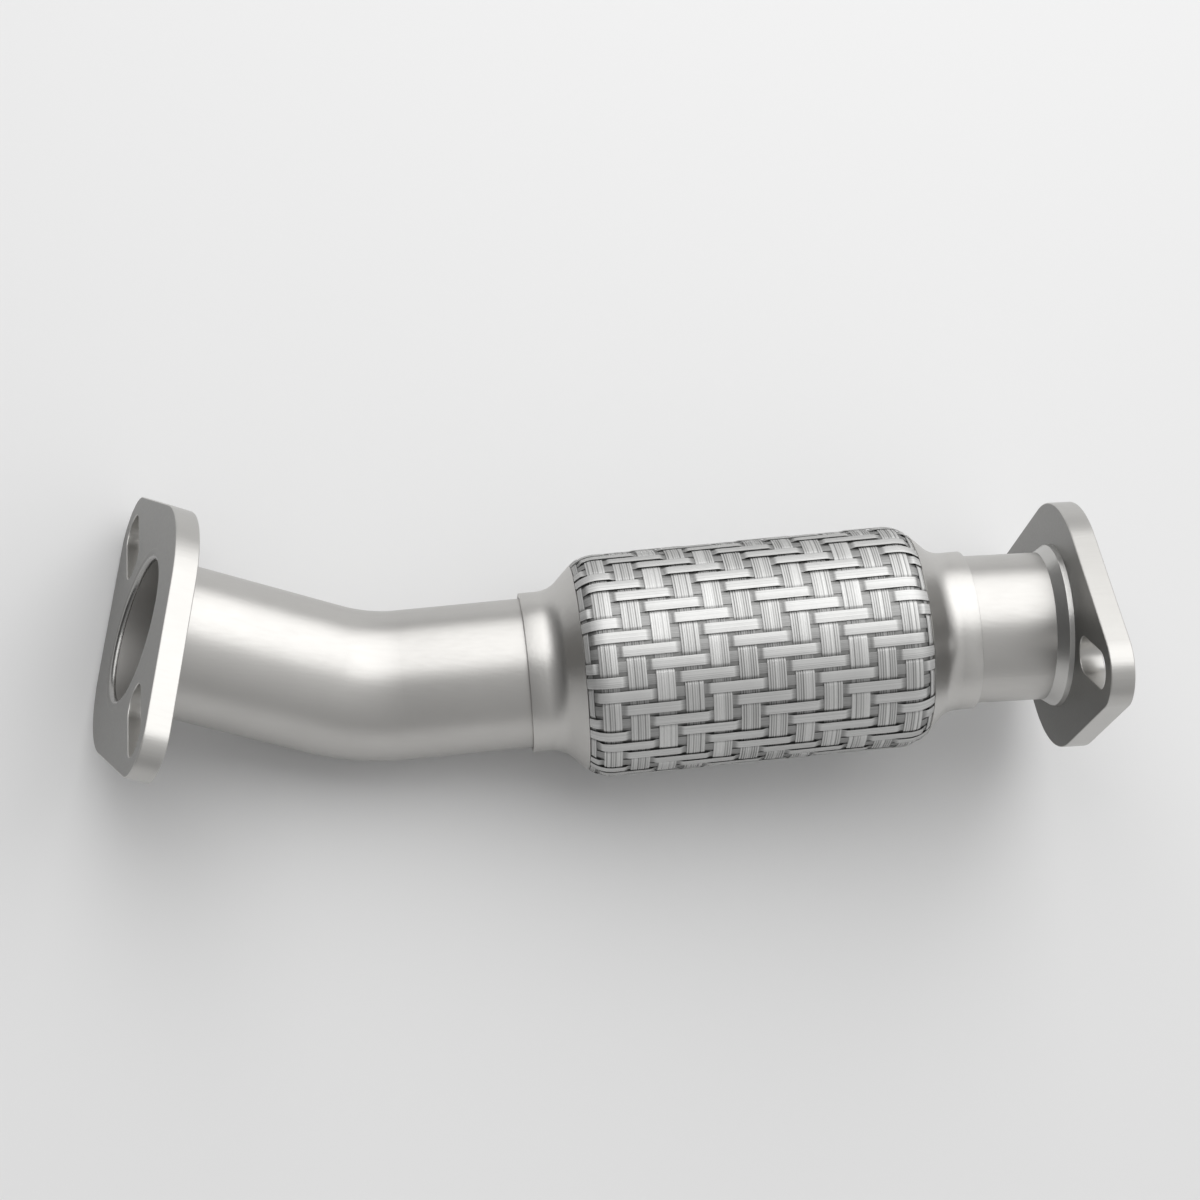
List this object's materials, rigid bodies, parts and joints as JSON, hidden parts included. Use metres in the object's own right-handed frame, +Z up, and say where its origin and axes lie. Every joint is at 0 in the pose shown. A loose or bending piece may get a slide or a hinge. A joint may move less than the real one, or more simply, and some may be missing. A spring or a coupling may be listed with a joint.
{
  "type": "flexible exhaust front pipe",
  "caption": "Short bent exhaust front pipe with a braided flex coupling in its middle and a slotted bolt flange at each end.",
  "frame": {"origin": "bottom centre of the bounding box, on the level floor where the loose pipe lies", "axes": "+X towards the outlet, along the pipe's longest extent; +Z up as the loose pipe lies, on a lobe of each flange and the inlet end of the braid"},
  "size_m": [0.3434, 0.1236, 0.1199],
  "materials": {
    "flange_plate": "laser-cut mild steel plate, zinc plated, satin",
    "weld": "smooth weld metal, satin",
    "tube": "drawn stainless tube, satin",
    "cap": "pressed stainless sheet, bright satin",
    "braid": "woven bands of fine stainless wire",
    "inner": "thin stainless sheet, satin"
  },
  "bodies": {
    "root": {"inlet_flange": "flange_plate", "inlet_flange_weld": "weld", "inlet_mouth_weld": "weld", "inlet_pipe": "tube", "inlet_cap": "cap", "inlet_inner_ring": "inner", "bellows": "inner", "liner": "inner", "braid": "braid", "outlet_inner_ring": "inner", "outlet_cap": "cap", "outlet_pipe": "tube", "outlet_flange_weld": "weld", "outlet_mouth_weld": "weld", "outlet_flange": "flange_plate"}
  },
  "joints": []
}
